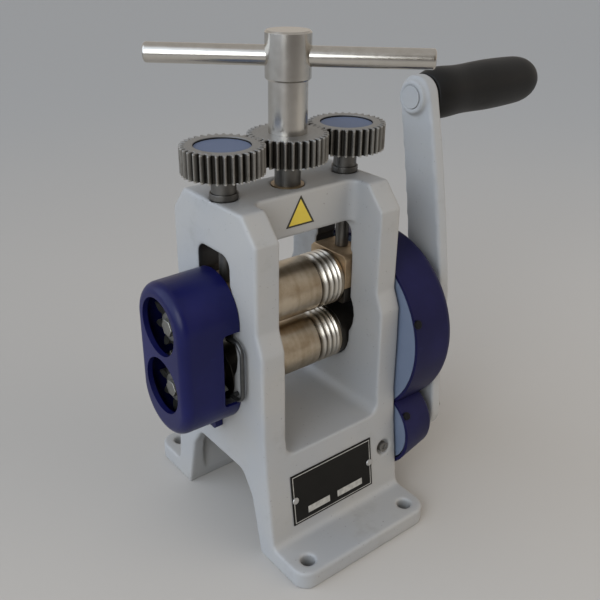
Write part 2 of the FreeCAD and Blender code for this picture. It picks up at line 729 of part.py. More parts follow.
def make_pinion_bush():
    bush = x_rod(36.0, 62.0, PINION_Y, PINION_Z, 10.45)
    flange = x_rod(BOSS_FACE_X + 0.02, 62.0, PINION_Y, PINION_Z, 13.0)
    return one(bush.fuse(flange).cut(x_rod(30, 70, PINION_Y, PINION_Z, CRANK_SHAFT_R + RUNNING)))


def make_crank_shaft():
    shaft = x_rod(34.0, 114.5, PINION_Y, PINION_Z, CRANK_SHAFT_R)
    gear_seat = x_rod(62.4, 93.0, PINION_Y, PINION_Z, 8.0)
    stop = x_rod(31.5, 35.7, PINION_Y, PINION_Z, 10.0)
    return fuse(shaft, gear_seat, stop)


# Crank arm: the side view and the front view of the bar, extruded and intersected

def flat_vector(y, z):
    return Vector(90, y, z)


def arc_centre(low, low_distance, high, high_distance):
    """Point behind the arm at the given distances from its two end centres."""
    line = high - low
    along = (low_distance ** 2 - high_distance ** 2 + line.Length ** 2) / (2 * line.Length)
    unit = line * (1 / line.Length)
    behind = Vector(0, unit.z, -unit.y)
    return low + unit * along + behind * math.sqrt(low_distance ** 2 - along ** 2)


def toward(start, end, distance):
    return start + (end - start) * (distance / (end - start).Length)


def arm_side_view():
    """Two round ends joined by two arcs that touch them smoothly and bow towards the front."""
    low = flat_vector(PINION_Y, PINION_Z)
    high = flat_vector(GRIP_Y, GRIP_Z)
    front_centre = arc_centre(low, ARM_SIDE_R - ARM_LOW_HALF, high, ARM_SIDE_R - ARM_HIGH_HALF)
    back_centre = arc_centre(low, ARM_SIDE_R + ARM_LOW_HALF, high, ARM_SIDE_R + ARM_HIGH_HALF)
    middle = (low + high) * 0.5
    front = [toward(front_centre, point, ARM_SIDE_R) for point in (low, middle, high)]
    back = [toward(back_centre, point, ARM_SIDE_R) for point in (low, middle, high)]
    top = high + Vector(0, 0, ARM_HIGH_HALF)
    bottom = low - Vector(0, 0, ARM_LOW_HALF)
    wire = Part.Wire([Part.Arc(*front).toShape(), Part.Arc(front[2], top, back[2]).toShape(),
                      Part.Arc(*reversed(back)).toShape(), Part.Arc(back[0], bottom, front[0]).toShape()])
    return Part.Face(wire).extrude(Vector(40, 0, 0))


def arm_front_view():
    low = (PINION_Z - 20, 100.0)
    high = (150.0, GRIP_Z + 20)
    inner = [(ARM_LOW_X, low[0]), (ARM_LOW_X, low[1]), (ARM_HIGH_X, high[0]), (ARM_HIGH_X, high[1])]
    outer = [(x + ARM_THICK, z) for x, z in reversed(inner)]
    bar = prism([(x, -90, z) for x, z in inner + outer], (0, 180, 0))
    bends = edges_where(bar, lambda e: is_line_along(e, "y", 100) and 95 < e.BoundBox.Center.z < 155)
    return bar.makeFillet(ARM_BEND_R, bends)


def make_crank_arm():
    arm = one(arm_side_view().common(arm_front_view()))
    rims = edges_where(arm, lambda e: e.Length > 8 and not is_line_along(e, "x", 5)
                       and not is_line_along(e, "y", 5))
    arm = arm.makeFillet(ARM_EDGE_R, rims)
    hub = x_rod(ARM_LOW_X - 6.5, ARM_LOW_X + 1, PINION_Y, PINION_Z, 11.0)
    boss = Part.makeCone(11.0, 13.0, 3.6, Vector(ARM_HIGH_X - 3.5, GRIP_Y, GRIP_Z), Vector(1, 0, 0))
    arm = arm.fuse(hub).fuse(boss)
    shaft_bore = x_rod(90, 115, PINION_Y, PINION_Z, CRANK_SHAFT_R + 0.02)
    pin_bore = x_rod(104, 121, GRIP_Y, GRIP_Z, 6.02)
    pin_head = x_rod(104, 107.6, GRIP_Y, GRIP_Z, 8.05)
    return arm.cut(shaft_bore).cut(pin_bore).cut(pin_head).Solids[0]


def make_crank_nut():
    x0 = ARM_LOW_X + ARM_THICK + 0.05
    hexagon = [(x0 + 1.5, PINION_Y + 12 * math.cos(k * math.pi / 3), PINION_Z + 12 * math.sin(k * math.pi / 3))
               for k in range(6)]
    nut = prism(hexagon, (5.5, 0, 0))
    washer = x_rod(x0, x0 + 1.6, PINION_Y, PINION_Z, 13.0)
    return one(nut.fuse(washer).cut(x_rod(100, x0 + 3.6, PINION_Y, PINION_Z, CRANK_SHAFT_R + 0.02)))


GRIP_START = ARM_HIGH_X + ARM_THICK + 1.0
GRIP_END = 234.0


def make_grip_pin():
    pin = x_rod(105.6, GRIP_END + 0.4, GRIP_Y, GRIP_Z, 6.0)
    head = x_rod(105.0, 107.5, GRIP_Y, GRIP_Z, 8.0)
    cap = x_rod(GRIP_END + 0.3, GRIP_END + 3.3, GRIP_Y, GRIP_Z, 9.0)
    cap = cap.makeFillet(1.5, edges_where(cap, lambda e: e.Length > 40 and e.BoundBox.Center.x > GRIP_END + 3))
    return fuse(pin, head, cap)


def make_grip():
    """Barrel grip turned from one bar, hollow for the pin."""
    span = GRIP_END - GRIP_START
    shape = [(0.0, 14.8), (0.03, 16.4), (0.25, 17.6), (0.5, 18.2), (0.8, 17.9), (0.95, 15.5), (1.0, 12.5)]
    curve = Part.BSplineCurve()
    curve.interpolate([Vector(GRIP_START + span * t, 0, r) for t, r in shape])
    inner_r = 6.0 + 0.08
    p0 = Vector(GRIP_START, 0, inner_r)
    p1 = Vector(GRIP_END, 0, inner_r)
    wire = Part.Wire(Part.__sortEdges__([
        Part.makeLine(p0, Vector(GRIP_START, 0, shape[0][1])), curve.toShape(),
        Part.makeLine(Vector(GRIP_END, 0, shape[-1][1]), p1), Part.makeLine(p1, p0)]))
    grip = Part.Face(wire).revolve(Vector(0, 0, 0), Vector(1, 0, 0), 360)
    grip.translate(Vector(0, GRIP_Y, GRIP_Z))
    return grip


def main():
    sides = (-1, 1)
    save("frame", make_frame())
    save("name_plate", plate_shape())
    save("name_plate_rivets", rivet(PLATE_MID[0] - RIVET_OFFSET), rivet(PLATE_MID[0] + RIVET_OFFSET))
    save("front_plug", make_plug())
    save("bridge_sign", make_sign())

    save("upper_roll", make_roll(UPPER_Z, False))
    save("lower_roll", make_roll(LOWER_Z, True))
    save("upper_timing_gear", make_timing_gear(UPPER_Z, 0.0))
    save("lower_timing_gear", make_timing_gear(LOWER_Z, math.pi / TIMING_TEETH))
    save("upper_gear_key", roll_key(UPPER_Z, -88, -66))
    save("lower_gear_key", roll_key(LOWER_Z, -88, -66))
    save("upper_roll_bolt", make_end_bolt(UPPER_Z))
    save("lower_roll_bolt", make_end_bolt(LOWER_Z))

    save("lower_bearings", *[make_lower_bearing(s) for s in sides])
    save("upper_bearings", *[make_upper_bearing(s) for s in sides])
    save("bearing_keepers", *[make_keeper(s) for s in sides])
    save("lift_spring", make_lift_spring())

    save("left_screw", make_screw(-SCREW_X))
    save("right_screw", make_screw(SCREW_X))
    save("left_screw_gear", make_adjust_gear(-SCREW_X))
    save("right_screw_gear", make_adjust_gear(SCREW_X))
    save("left_gear_disc", make_gear_disc(-SCREW_X))
    save("right_gear_disc", make_gear_disc(SCREW_X))
    save("screw_nuts", make_nut(-SCREW_X), make_nut(SCREW_X))
    save("screw_collars", make_collar(-SCREW_X), make_collar(SCREW_X))
    save("centre_gear", make_centre_gear())
    save("centre_shaft", make_centre_shaft())
    save("centre_bush", make_centre_bush())
    save("tee_stem", make_tee_stem())
    save("tee_bar", make_tee_bar())

    save("left_cover", make_left_cover())
    save("left_cover_screws",
         machine_screw(-66.05, *LEFT_COVER_SCREWS[0], -1, 2.5, 4.2, 3.0, 14),
         machine_screw(-64.05, *LEFT_COVER_SCREWS[1], -1, 2.5, 4.2, 3.0, 12))

    save("gear_back_plate", make_back_plate())
    save("back_plate_screws",
         *[machine_screw(62.95, y, z, 1, 2.5, 4.6, 2.0, 12) for y, z in BACK_PLATE_SCREWS])
    save("gear_cover", make_gear_cover())
    save("gear_cover_screws", *make_gear_cover_screws())
    save("pinion_cover", make_pinion_cover())
    save("pinion_cover_screws", *make_pinion_cover_screws())
    save("drive_gear", make_drive_gear())
    save("drive_gear_key", roll_key(LOWER_Z, 69, 87))
    save("drive_gear_nut", make_drive_nut())
    save("pinion", make_pinion())
    save("pinion_bush", make_pinion_bush())
    save("crank_shaft", make_crank_shaft())
    save("crank_arm", make_crank_arm())
    save("crank_nut", make_crank_nut())
    save("grip_pin", make_grip_pin())
    save("grip", make_grip())


main()
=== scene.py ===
import math

import bmesh
import bpy
from mathutils import Matrix, Vector


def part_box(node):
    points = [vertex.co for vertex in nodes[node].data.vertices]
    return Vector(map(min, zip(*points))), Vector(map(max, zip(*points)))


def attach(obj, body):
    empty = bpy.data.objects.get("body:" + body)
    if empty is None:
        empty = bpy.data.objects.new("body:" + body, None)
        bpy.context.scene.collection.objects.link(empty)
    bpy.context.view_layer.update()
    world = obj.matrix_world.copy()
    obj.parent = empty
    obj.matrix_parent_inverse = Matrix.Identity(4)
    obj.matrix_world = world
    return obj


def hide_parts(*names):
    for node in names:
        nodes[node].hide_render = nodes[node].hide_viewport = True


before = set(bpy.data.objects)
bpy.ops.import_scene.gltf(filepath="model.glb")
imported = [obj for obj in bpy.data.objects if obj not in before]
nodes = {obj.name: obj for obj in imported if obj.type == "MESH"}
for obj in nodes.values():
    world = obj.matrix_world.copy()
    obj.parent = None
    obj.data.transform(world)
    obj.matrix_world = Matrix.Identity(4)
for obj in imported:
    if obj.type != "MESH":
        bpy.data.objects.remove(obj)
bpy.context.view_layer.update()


# Camera. The mill is seen from its front left corner, from a little above the tee handle,
# with a normal lens about half a metre away.

CAMERA_AIM = Vector((0, 0, 0.160))
CAMERA_DISTANCE = 0.54202
CAMERA_SIDE = -0.00923
CAMERA_RISE = -0.00330
azimuth = math.radians(-38.738)
elevation = math.radians(26.683)
roll = math.radians(0.792)

back = Vector((math.sin(azimuth) * math.cos(elevation), -math.cos(azimuth) * math.cos(elevation),
               math.sin(elevation)))
level_right = Vector((math.cos(azimuth), math.sin(azimuth), 0))
level_up = back.cross(level_right)
right = level_right * math.cos(roll) + level_up * math.sin(roll)
up = level_up * math.cos(roll) - level_right * math.sin(roll)
place = CAMERA_AIM + back * CAMERA_DISTANCE - right * CAMERA_SIDE - up * CAMERA_RISE

lens = bpy.data.cameras.new("photo_camera")
lens.sensor_width = 36
lens.lens = 46.09
lens.clip_start = 0.01
camera = bpy.data.objects.new("photo_camera", lens)
camera.matrix_world = Matrix.Translation(place) @ Matrix((right, up, back)).transposed().to_4x4()
bpy.context.scene.collection.objects.link(camera)
bpy.context.scene.camera = camera


# Studio. A pale bench top runs out in every direction. Daylight comes from a wide window on the
# left, and the rest of the room is dimmer and warm. Value wraps a shader socket, so that shader
# maths can be written as plain expressions, and node() makes any other node.

class Value:
    def __init__(self, tree, socket):
        self.tree = tree
        self.socket = socket

    def node(self, kind, settings=None, output=0, **inputs):
        made = self.tree.nodes.new(kind)
        for name, value in (settings or {}).items():
            if name == "ramp":
                ramp = made.color_ramp
                while len(ramp.elements) < len(value):
                    ramp.elements.new(1)
                for element, (position, colour) in zip(ramp.elements, value):
                    element.position = position
                    element.color = colour
            else:
                setattr(made, name, value)
        for name, value in inputs.items():
            key = int(name[1:]) if name[1:].isdigit() else name.replace("_", " ")
            socket = made.inputs[key]
            if isinstance(value, Value):
                self.tree.links.new(value.socket, socket)
            else:
                socket.default_value = value
        return Value(self.tree, made.outputs[output] if made.outputs else None)

    def maths(self, operation, first, second=None):
        inputs = {"i0": first} if second is None else {"i0": first, "i1": second}
        return self.node("ShaderNodeMath", {"operation": operation}, **inputs)

    def vector_maths(self, operation, other=None, output=0):
        inputs = {"i0": self} if other is None else {"i0": self, "i1": other}
        return self.node("ShaderNodeVectorMath", {"operation": operation}, output=output, **inputs)

    def __add__(self, other):
        return self.maths("ADD", self, other)

    def __radd__(self, other):
        return self.maths("ADD", other, self)

    def __sub__(self, other):
        return self.maths("SUBTRACT", self, other)

    def __rsub__(self, other):
        return self.maths("SUBTRACT", other, self)

    def __mul__(self, other):
        return self.maths("MULTIPLY", self, other)

    def __rmul__(self, other):
        return self.maths("MULTIPLY", other, self)

    def __abs__(self):
        return self.maths("ABSOLUTE", self)

    def above(self, other):
        """The larger of this value and another."""
        return self.maths("MAXIMUM", self, other)

    def below(self, other):
        """The smaller of this value and another."""
        return self.maths("MINIMUM", self, other)

    def step(self, low, high):
        """0 below low, 1 above high, and a smooth rise between them."""
        return self.node("ShaderNodeMapRange", {"interpolation_type": "SMOOTHSTEP"},
                         Value=self, From_Min=low, From_Max=high)

    def mix(self, low, high):
        """Colour low where this mask is 0 and high where it is 1."""
        low = low if isinstance(low, Value) else (*low, 1)
        high = high if isinstance(high, Value) else (*high, 1)
        return self.node("ShaderNodeMix", {"data_type": "RGBA"}, output=2, i0=self, i6=low, i7=high)

    def noise(self, scale, detail=2.0, roughness=0.5):
        """Cloudy noise on this vector, features 1 / scale metres across."""
        return self.node("ShaderNodeTexNoise", Vector=self, Scale=scale, Detail=detail, Roughness=roughness)

    def axis(self, index):
        return self.node("ShaderNodeSeparateXYZ", output=index, i0=self)

    def stretch(self, x, y, z):
        return self.vector_maths("MULTIPLY", (x, y, z))

    def along(self, start, direction):
        """How far this point lies from start along a direction."""
        offset = self.vector_maths("SUBTRACT", tuple(start))
        return offset.vector_maths("DOT_PRODUCT", tuple(direction), output=1)

    def from_axis(self, centre, keep):
        """Distance from a line through centre. keep is 0 along the line and 1 across it."""
        return self.vector_maths("SUBTRACT", tuple(centre)).stretch(*keep).vector_maths("LENGTH", output=1)

    def bump(self, distance, strength=1.0):
        return self.node("ShaderNodeBump", Height=self, Distance=distance, Strength=strength)


def shader_tree(owner):
    owner.use_nodes = True
    owner.node_tree.nodes.clear()
    return owner.node_tree


def new_finish(name):
    """An empty material, and the point on the piece that its pattern is worked out from."""
    material = bpy.data.materials.new(name)
    start = Value(shader_tree(material), None)
    return material, start.node("ShaderNodeTexCoord", output=3)


def lay_on(point, **sockets):
    """Close a finish: one surface shader with these sockets."""
    surface = point.node("ShaderNodeBsdfPrincipled", **sockets)
    point.node("ShaderNodeOutputMaterial", i0=surface)


bench_finish, point = new_finish("bench_top")
near_colour = point.noise(3.0, 3.0).mix((0.500, 0.478, 0.446), (0.520, 0.498, 0.466))
# Painted shade: the bench is graded darker away from the mill.
far_painted_shade = point.from_axis((0, 0, 0), (1, 1, 1)).step(0.15, 1.5)
bench_colour = far_painted_shade.mix(near_colour, (0.46, 0.460, 0.452))
# Painted shadow: the bench is painted darker towards the camera side.
painted_shadow_in_front = point.along((0, 0, 0), (-0.62, -0.78, 0)).step(0.25, 1.40)
lay_on(point, Base_Color=painted_shadow_in_front.mix(bench_colour, (0.33, 0.31, 0.29)), Roughness=0.75)

mesh = bpy.data.meshes.new("bench_top")
bench_shape = bmesh.new()
bmesh.ops.create_circle(bench_shape, cap_ends=True, segments=96, radius=6.0)
bench_shape.to_mesh(mesh)
bench_shape.free()
mesh.materials.append(bench_finish)
bench = bpy.data.objects.new("bench_top", mesh)
bpy.context.scene.collection.objects.link(bench)

room = bpy.data.worlds.new("room")
bpy.context.scene.world = room
direction = Value(shader_tree(room), None).node("ShaderNodeTexCoord", output=0)


def facing(x, y, z):
    """1 straight towards a direction of the room, 0 or less away from it."""
    return direction.along((0, 0, 0), Vector((x, y, z)).normalized())


sky = direction.axis(2).step(-0.3, 0.9).mix((0.56, 0.51, 0.45), (0.45, 0.44, 0.43))
window = facing(-1.0, 0.15, 0.30).step(0.55, 0.80)
room_colour = window.mix(sky, (1.45, 1.62, 1.88))
dark_side = facing(-0.25, -0.95, 0.05).step(0.55, 0.92)
room_colour = dark_side.mix(room_colour, (0.10, 0.080, 0.060))
seen = direction.node("ShaderNodeLightPath")
room_colour = seen.mix(room_colour, (0.46, 0.46, 0.452))
room_light = direction.node("ShaderNodeBackground", i0=room_colour, i1=1.0)
direction.node("ShaderNodeOutputWorld", i0=room_light)


def area_lamp(name, at, aim, size, watts, colour, shows_in_metal=True):
    lamp = bpy.data.lights.new(name, "AREA")
    lamp.shape = "DISK"
    lamp.size = size
    lamp.energy = watts
    lamp.color = colour
    holder = bpy.data.objects.new(name, lamp)
    at = Vector(at)
    turned = (at - Vector(aim)).to_track_quat("Z", "Y").to_matrix().to_4x4()
    holder.matrix_world = Matrix.Translation(at) @ turned
    holder.visible_glossy = shows_in_metal
    bpy.context.scene.collection.objects.link(holder)


LAMPS_AIM = (0, 0, 0.12)
area_lamp("window_light", (-1.02, -0.66, 0.66), LAMPS_AIM, 0.8, 5.1, (0.93, 0.97, 1.0))
area_lamp("room_light", (0.75, -1.05, 0.62), LAMPS_AIM, 1.4, 6.2, (1.0, 0.90, 0.78),
          shows_in_metal=False)
bpy.context.scene.view_settings.view_transform = "Standard"


# Frame. One grey iron casting with two uprights, a bridge, splayed feet and a cored base. The
# casting skin is filled and sprayed with a pale grey satin enamel, which rounds every edge.

def dress(finish, *names):
    """Give CAD pieces their finish."""
    for name in names:
        nodes[name].data.materials.clear()
        nodes[name].data.materials.append(finish)


def break_edges(width, *pieces, angle=28, segments=2):
    """Break the sharp edges of pieces, as a file or a coat of paint does."""
    for piece in pieces:
        stack = (nodes[piece] if isinstance(piece, str) else piece).modifiers
        stack.new("joined_points", "WELD").merge_threshold = 0.00001
        flat = stack.new("whole_faces", "DECIMATE")
        flat.decimate_type = "DISSOLVE"
        flat.angle_limit = math.radians(1.5)
        edge = stack.new("broken_edges", "BEVEL")
        edge.width = width
        edge.segments = segments
        edge.limit_method = "ANGLE"
        edge.angle_limit = math.radians(angle)
        edge.use_clamp_overlap = True
        stack.new("even_shading", "WEIGHTED_NORMAL").keep_sharp = True


def cast_edges(voxel, rounds, *names):
    """Soften a casting all over, inside corners too."""
    for name in names:
        stack = nodes[name].modifiers
        skin = stack.new("casting_skin", "REMESH")
        skin.mode = "VOXEL"
        skin.voxel_size = voxel
        skin.use_smooth_shade = True
        soft = stack.new("soft_edges", "SMOOTH")
        soft.factor = 0.5
        soft.iterations = rounds


PAINT_COOL = (0.360, 0.366, 0.372)
PAINT_WARM = (0.388, 0.382, 0.368)


SLOT_INNER = 0.0420
SLOT_OUTER = 0.0592
SLOT_HALF_DEPTH = 0.0203
SLOT_FOOT = 0.1040
SLOT_TOP = 0.2190


def slots_bare_and_shaded(point):
    """1 on the walls of the two bearing slots, which are milled after painting and stay bare, and whose
    near black colour is also painted shade.
    """
    across = abs(point.axis(0))
    past_outer = across.step(SLOT_OUTER - 0.0006, SLOT_OUTER)
    in_upright = across.step(SLOT_INNER, SLOT_INNER + 0.0005) * (1 - past_outer)
    between_walls = 1 - abs(point.axis(1)).step(SLOT_HALF_DEPTH, SLOT_HALF_DEPTH + 0.0005)
    height = point.axis(2)
    above_foot = height.step(SLOT_FOOT, SLOT_FOOT + 0.0010)
    return in_upright * between_walls * above_foot * (1 - height.step(SLOT_TOP - 0.0012, SLOT_TOP))


def enamel(name, cool, warm, bare=None):
    """Satin enamel over a filled casting: clouds, fine peel and faint grime, with near black bare iron,
    also painted shade, where asked.
    """
    finish, point = new_finish(name)
    clouds = point.noise(14.0, 3.0)
    colour = clouds.step(0.36, 0.66).mix(cool, warm)
    grime = point.noise(38.0, 4.0, 0.65).step(0.56, 0.78) * 0.35
    colour = grime.mix(colour, (0.245, 0.235, 0.215))
    specks = point.noise(520.0, 1.0).step(0.735, 0.775) * 0.4
    colour = specks.mix(colour, (0.12, 0.11, 0.10))
    wave = point.noise(70.0, 2.0)
    peel = point.noise(1100.0, 2.0, 0.6)
    height = wave * 0.5 + peel * 0.05
    metallic = 0.0
    if bare:
        # The bare iron is painted near black, which also paints the shade inside the slots.
        iron = bare(point)
        colour = iron.mix(colour, clouds.mix((0.022, 0.021, 0.021), (0.050, 0.049, 0.050)))
        metallic = iron * 0.5
    lay_on(point, Base_Color=colour, Roughness=0.42 + clouds * 0.12, Metallic=metallic,
           Normal=height.bump(0.0007, 0.6), Coat_Weight=0.10)
    return finish


cast_edges(0.0012, 5, "frame")
dress(enamel("frame_enamel", PAINT_COOL, PAINT_WARM, slots_bare_and_shaded), "frame")


# Name plate. A black lacquered aluminium plate on the front slope, left bare apart from its thin
# pale border and two blank fields. Two aluminium rivets with round heads hold it.

plate_low, plate_high = (Vector(corner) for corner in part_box("name_plate"))
plate_middle = (plate_low + plate_high) / 2
plate_up = Vector((0, plate_high.y - plate_low.y, plate_high.z - plate_low.z)).normalized()
PLATE_HALF_W = (plate_high.x - plate_low.x) / 2
PLATE_HALF_H = 0.020
BORDER_INSET = 0.0012
BORDER_WIDTH = 0.0006
PRINT_EDGE = 0.0002


def printed(value, low, high):
    """1 between two lines on the plate, with a crisp printed edge."""
    return value.step(low, low + PRINT_EDGE) * (1 - value.step(high, high + PRINT_EDGE))


finish, point = new_finish("plate_lacquer")
across = abs(point.along(plate_middle, (1, 0, 0)))
upward = point.along(plate_middle, plate_up)
to_edge = (PLATE_HALF_W - across).below(PLATE_HALF_H - abs(upward))
border = printed(to_edge, BORDER_INSET, BORDER_INSET + BORDER_WIDTH)
row = printed(upward, -0.0150, -0.0098)
side = point.along(plate_middle, (1, 0, 0))
left_field = printed(side, -0.0240, -0.0042)
right_field = printed(side, 0.0030, 0.0268)
print_mask = border.above(row * left_field.above(right_field))
worn = point.noise(260.0, 3.0).step(0.30, 0.62)
ink = print_mask * (0.72 + worn * 0.28)
lacquer = point.noise(90.0, 3.0).mix((0.0055, 0.0050, 0.0040), (0.010, 0.009, 0.0075))
lay_on(point, Base_Color=ink.mix(lacquer, (0.46, 0.45, 0.42)), Roughness=0.42, Specular_IOR_Level=0.18,
       Normal=(ink * 0.6 + point.noise(1500.0) * 0.1).bump(0.00008))
dress(finish, "name_plate")

finish, point = new_finish("rivet_aluminium")
lay_on(point, Base_Color=point.noise(600.0, 3.0).mix((0.50, 0.49, 0.47), (0.66, 0.65, 0.63)),
       Roughness=0.34, Metallic=0.85, Normal=point.noise(2500.0).bump(0.00002))
dress(finish, "name_plate_rivets")
break_edges(0.0003, "name_plate", "name_plate_rivets")


# Front plug. A socket set screw closes an oil passage beside the plate.

finish, point = new_finish("plug_steel")
lay_on(point, Base_Color=point.noise(700.0, 3.0).mix((0.16, 0.15, 0.14), (0.28, 0.27, 0.25)),
       Roughness=0.40, Metallic=0.9, Normal=point.noise(1800.0).bump(0.00003))
dress(finish, "front_plug")
break_edges(0.0003, "front_plug")


# Sign. A triangular enamelled sheet on the bridge, yellow inside a black edge, left bare.

sign_low, sign_high = (Vector(corner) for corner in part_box("bridge_sign"))
SIGN_EDGE = 0.0011
foot_left = Vector((sign_low.x, 0, sign_low.z))
foot_right = Vector((sign_high.x, 0, sign_low.z))
apex = Vector(((sign_low.x + sign_high.x) / 2, 0, sign_high.z))


def inside(start, end):
    """Distance from one side of the triangle, measured inwards."""
    run = (end - start).normalized()
    return point.along(start, (-run.z, 0, run.x))


finish, point = new_finish("sign_enamel")
to_side = inside(foot_left, foot_right)
for start, end in ((foot_right, apex), (apex, foot_left)):
    to_side = to_side.below(inside(start, end))
field = to_side.step(SIGN_EDGE, SIGN_EDGE + 0.0002)
yellow = point.noise(160.0, 3.0).mix((0.62, 0.47, 0.045), (0.72, 0.56, 0.075))
lay_on(point, Base_Color=field.mix((0.030, 0.025, 0.012), yellow), Roughness=0.38,
       Normal=point.noise(900.0).bump(0.00003))
dress(finish, "bridge_sign")


# Rolls. Hardened steel bars ground round between centres, with four vee grooves for wire at the
# crank end. The steel is tinted straw, the groove flanks are bright, and the roots get painted shade.

def turn(shape, axis_at, direction, profile, segments=96):
    """Turn a closed profile of (distance along, radius) points round an axis, as on a lathe."""
    square_on = direction.to_track_quat("Z", "Y").to_matrix()
    rings = []
    for distance, radius in profile:
        ring = []
        for k in range(segments if radius else 1):
            angle = 2 * math.pi * k / segments
            spoke = square_on @ Vector((math.cos(angle), math.sin(angle), 0))
            ring.append(shape.verts.new(axis_at + direction * distance + spoke * radius))
        rings.append(ring)
    for first, second in zip(rings, rings[1:] + rings[:1]):
        if len(first) == len(second) == 1:
            continue
        for k in range(segments):
            corners = (first[k % len(first)], first[(k + 1) % len(first)],
                       second[(k + 1) % len(second)], second[k % len(second)])
            shape.faces.new(list(dict.fromkeys(corners)))


def extrude(shape, outline, start, end):
    """Push a flat outline of (y, z) points along X."""
    low = [shape.verts.new((start, y, z)) for y, z in outline]
    high = [shape.verts.new((end, y, z)) for y, z in outline]
    shape.faces.new(low)
    shape.faces.new(high)
    for k in range(len(outline)):
        after = (k + 1) % len(outline)
        shape.faces.new((low[k], low[after], high[after], high[k]))


def stand_in(name, shape, finish, body, *solids):
    """Make a shape into a piece that rides on a body and is shown in place of CAD solids."""
    bmesh.ops.recalc_face_normals(shape, faces=shape.faces)
    mesh = bpy.data.meshes.new(name)
    shape.to_mesh(mesh)
    shape.free()
    mesh.materials.append(finish)
    mesh.shade_smooth()
    mesh.set_sharp_from_angle(angle=math.radians(30))
    piece = bpy.data.objects.new(name, mesh)
    bpy.context.scene.collection.objects.link(piece)
    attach(piece, body)
    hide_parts(*solids)
    return piece


def middle(name):
    low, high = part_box(name)
    return (Vector(low) + Vector(high)) / 2


ALONG_ROLL = Vector((1, 0, 0))
BARREL_R = 0.020
BARREL_HALF = 0.0365
JOURNAL_R = 0.011
GEAR_SEAT_R = 0.009
LEFT_END = -0.0920
LEFT_SHOULDER = -0.0620
EDGE_BREAK = 0.0008
GROOVES = ((0.0153, 0.0052), (0.0213, 0.0041), (0.0262, 0.0036), (0.0306, 0.0026))
GROOVES_START = GROOVES[0][0]
GROOVES_END = GROOVES[-1][0] + GROOVES[-1][1]


def roll_profile(right_end):
    """A roll from its left end: gear seat, journal, barrel with its grooves, then its own right end."""
    profile = [(LEFT_END, 0), (LEFT_END, GEAR_SEAT_R), (LEFT_SHOULDER, GEAR_SEAT_R),
               (LEFT_SHOULDER, JOURNAL_R), (-BARREL_HALF, JOURNAL_R),
               (-BARREL_HALF, BARREL_R - EDGE_BREAK), (-BARREL_HALF + EDGE_BREAK, BARREL_R)]
    for start, width in GROOVES:
        profile += [(start, BARREL_R), (start + width / 2, BARREL_R - width / 2), (start + width, BARREL_R)]
    profile += [(BARREL_HALF - EDGE_BREAK, BARREL_R), (BARREL_HALF, BARREL_R - EDGE_BREAK),
                (BARREL_HALF, JOURNAL_R)]
    return profile + right_end


UPPER_END = 0.0590
LOWER_SHOULDER = 0.0670
LOWER_END = 0.0965
roll_ends = {"upper_roll": [(UPPER_END, JOURNAL_R), (UPPER_END, 0)],
             "lower_roll": [(LOWER_SHOULDER, JOURNAL_R), (LOWER_SHOULDER, GEAR_SEAT_R),
                            (LOWER_END, GEAR_SEAT_R), (LOWER_END, 0)]}
for name, right_end in roll_ends.items():
    finish, point = new_finish(name + "_ground_steel")
    centre = middle(name)
    roll_axis = Vector((0, centre.y, centre.z))
    radius = point.from_axis(roll_axis, (0, 1, 1))
    along_roll = point.axis(0)
    grinding = point.stretch(1, 0.02, 0.02).noise(3600.0, 3.0, 0.7)
    bands = point.stretch(1, 0.05, 0.05).noise(240.0, 2.0)
    stain = point.noise(55.0, 4.0, 0.6)
    straw = (stain * 0.7 + bands * 0.3).step(0.34, 0.66).mix((0.40, 0.31, 0.21), (0.60, 0.51, 0.39))
    past_first = along_roll.step(GROOVES_START, GROOVES_START + 0.0004)
    past_last = along_roll.step(GROOVES_END, GROOVES_END + 0.0004)
    grooved = past_first * (1 - past_last)
    # Painted shade: the grooves darken towards their roots, and their flanks stay bright.
    flank = radius.step(BARREL_R - 0.0022, BARREL_R - 0.0003)
    bright = flank.mix((0.13, 0.105, 0.075), (0.66, 0.61, 0.53))
    colour = grooved.mix(straw, bright)
    journal = radius.step(BARREL_R - 0.0080, BARREL_R - 0.0060)
    colour = journal.mix((0.20, 0.175, 0.145), colour)
    lay_on(point, Base_Color=colour, Metallic=1.0, Roughness=0.20 + grinding * 0.16 + stain * 0.06,
           Normal=grinding.bump(0.000012))
    shape = bmesh.new()
    turn(shape, roll_axis, ALONG_ROLL, roll_profile(right_end))
    stand_in(name + "_ground", shape, finish, name, name)


# Timing gears. Two ten tooth steel gears with deep teeth, keyed to the left ends of the rolls.
# A low bolt and washer hold each one. Only their grey faces show through the cover windows.

def cut_gear(name, centre, keep, tip, root, face, gap):
    """Milled gear steel: pale faces, with mottled painted shade darkening the teeth towards their roots."""
    finish, point = new_finish(name)
    radius = point.from_axis(centre, keep)
    reach = radius.step(root, tip)
    grain = point.noise(900.0, 3.0, 0.6)
    patch = point.noise(110.0, 3.0, 0.6)
    metal = patch.mix(face, tuple(channel * 1.25 for channel in face))
    # Painted shade, mottled: darker towards the tooth roots.
    mottled_root_shade = (1 - reach) * (0.55 + patch * 0.6)
    lay_on(point, Base_Color=mottled_root_shade.mix(metal, gap), Metallic=0.85,
           Roughness=0.34 + grain * 0.16 + mottled_root_shade * 0.2, Normal=grain.bump(0.00004))
    return finish


for name in ("upper_timing_gear", "lower_timing_gear"):
    dress(cut_gear(name + "_steel", middle(name), (0, 1, 1), 0.0244, 0.0160, (0.17, 0.17, 0.155),
                   (0.035, 0.033, 0.026)), name)
break_edges(0.0004, "upper_timing_gear", "lower_timing_gear")

